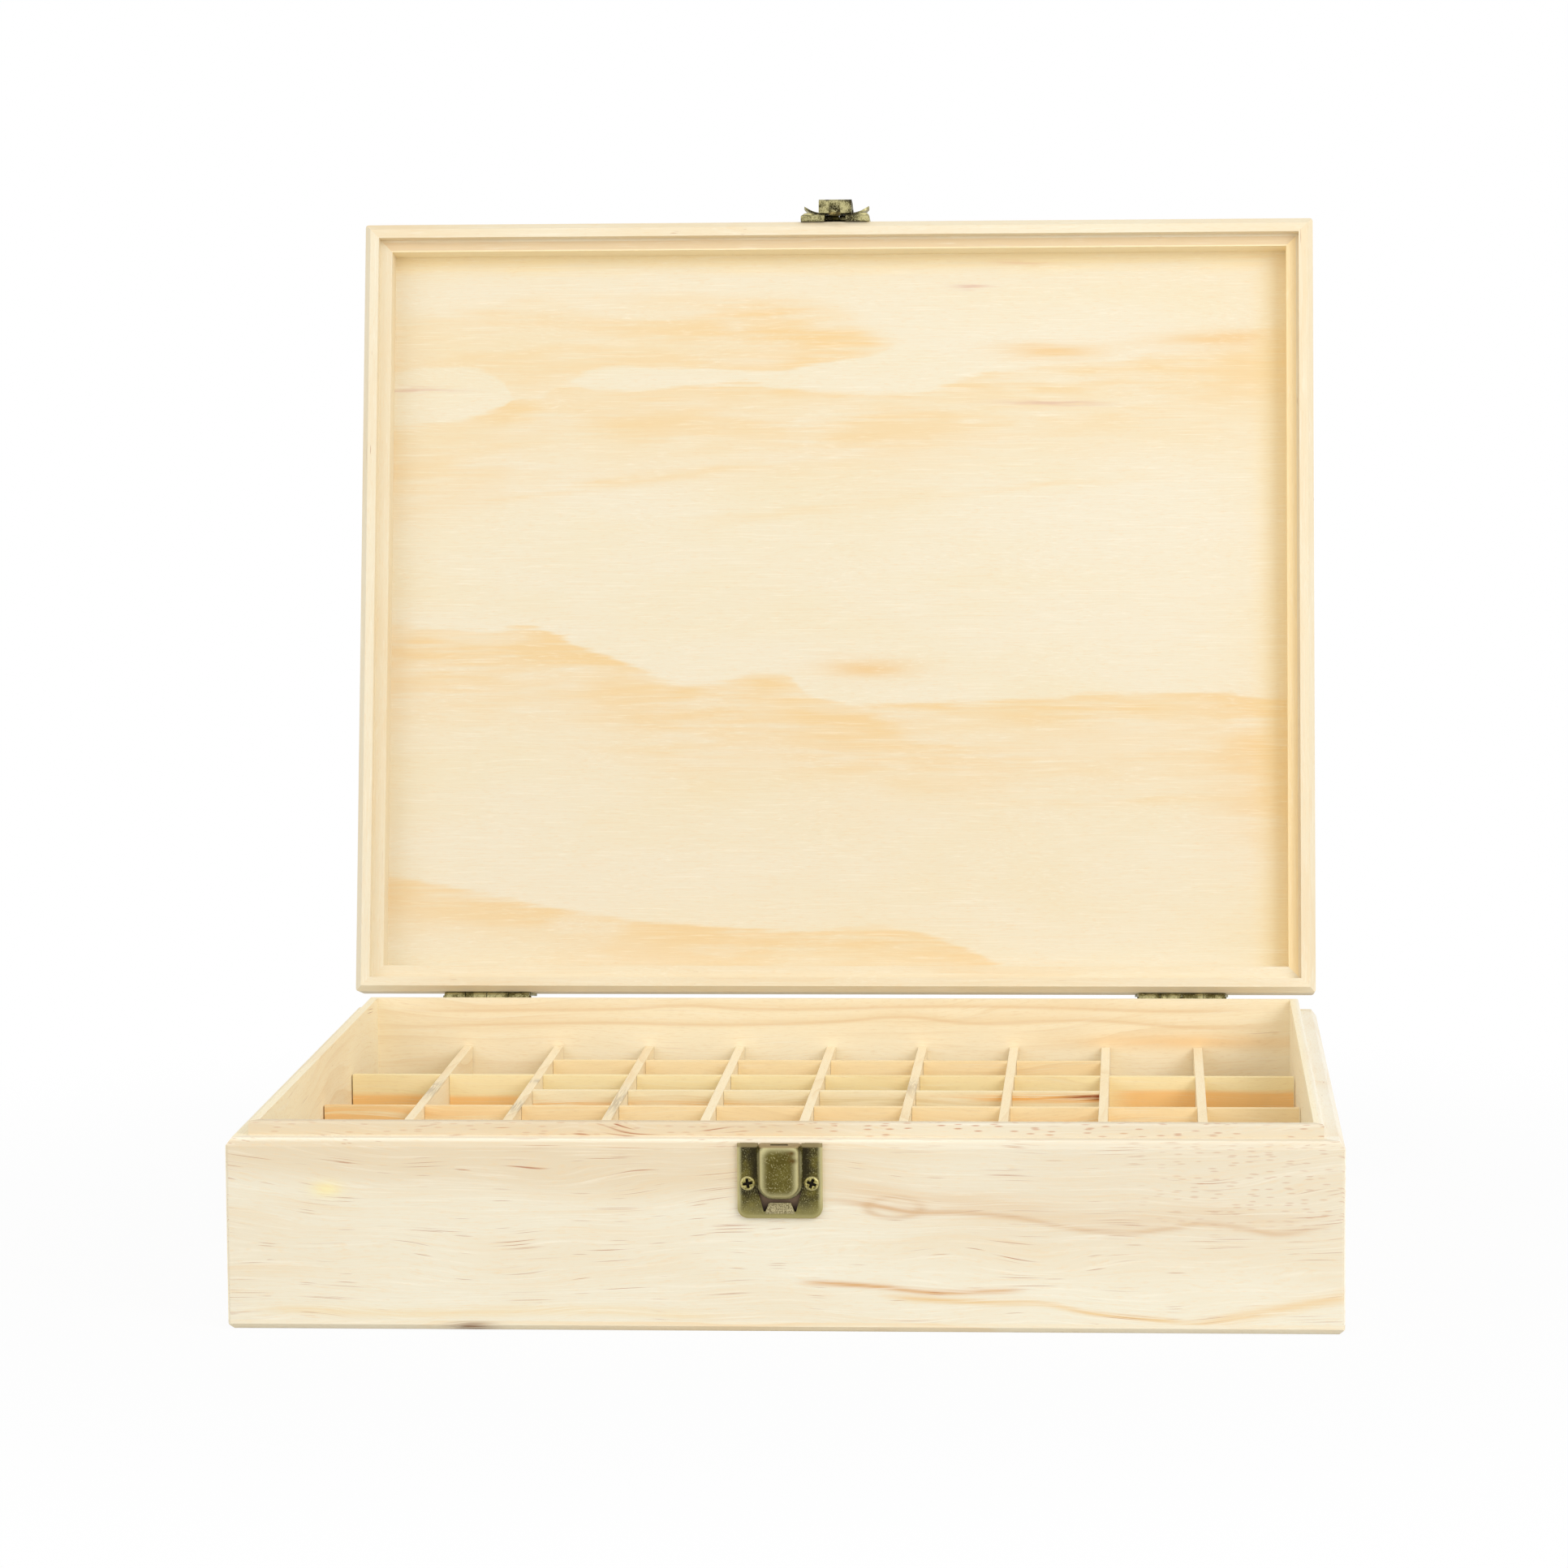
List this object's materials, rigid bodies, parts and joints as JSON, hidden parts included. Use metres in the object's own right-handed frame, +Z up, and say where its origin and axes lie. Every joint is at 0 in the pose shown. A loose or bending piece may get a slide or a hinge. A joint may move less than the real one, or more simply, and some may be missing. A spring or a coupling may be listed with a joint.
{
  "type": "art supply box",
  "caption": "Pale pine art supply box: a shallow tray with a loose egg-crate grid of thin dividers, a hinged lid standing open, and a sprung bronze latch.",
  "frame": {"origin": "The middle of the tray's underside, on the plane the box rests on.", "axes": "+Z is up. The front with the catch faces -Y. +X is to the right, seen from the front."},
  "size_m": [0.34, 0.3551, 0.343],
  "materials": {
    "board_wood": "satin",
    "panel_wood": "satin",
    "divider_wood": "matte",
    "hinge_brass": "satin",
    "latch_bronze": "antique",
    "screw_brass": "satin",
    "pin_steel": "satin"
  },
  "bodies": {
    "tray": {"tray_front_wall": "board_wood", "tray_right_wall": "board_wood", "tray_back_wall": "board_wood", "tray_left_wall": "board_wood", "tray_bottom": "panel_wood", "hinge_tray_leaf_left": "hinge_brass", "hinge_tray_leaf_right": "hinge_brass", "hinge_pin_left": "pin_steel", "hinge_pin_right": "pin_steel", "hinge_tray_screws": "screw_brass", "catch_plate": "latch_bronze", "catch_housing": "latch_bronze", "catch_screws": "screw_brass"},
    "divider_grid": {"cross_divider_1": "divider_wood", "cross_divider_2": "divider_wood", "cross_divider_3": "divider_wood", "cross_divider_4": "divider_wood", "cross_divider_5": "divider_wood", "cross_divider_6": "divider_wood", "cross_divider_7": "divider_wood", "cross_divider_8": "divider_wood", "cross_divider_9": "divider_wood", "full_divider_1": "divider_wood", "full_divider_2": "divider_wood", "full_divider_3": "divider_wood", "short_divider_1": "divider_wood", "short_divider_2": "divider_wood", "short_divider_3": "divider_wood", "short_divider_4": "divider_wood"},
    "lid": {"lid_front_wall": "board_wood", "lid_right_wall": "board_wood", "lid_back_wall": "board_wood", "lid_left_wall": "board_wood", "lid_panel": "panel_wood", "hinge_lid_leaf_left": "hinge_brass", "hinge_lid_leaf_right": "hinge_brass", "hinge_lid_screws": "screw_brass", "hasp_plate": "latch_bronze", "hasp_screws": "screw_brass", "hasp_pin": "pin_steel", "hasp_spring": "pin_steel"},
    "hasp_lever": {"hasp_lever": "latch_bronze"}
  },
  "joints": [
    {"name": "lid_hinge", "type": "hinge", "parent": "tray", "child": "lid", "pos_m": [0, 0.14055, 0.0618], "axis": [1, 0, 0], "range_deg": [0, 101.5]},
    {"name": "hasp_press", "type": "hinge", "parent": "lid", "child": "hasp_lever", "pos_m": [-0.0005, 0.20293, 0.33831], "axis": [-1, 0, 0], "range_deg": [0, 6], "stiffness_Nm_per_rad": 0.05, "springref_deg": -8.59},
    {"name": "grid_lift", "type": "slide", "parent": "tray", "child": "divider_grid", "axis": [0, 0, 1], "range_m": [0, 0.027]}
  ]
}
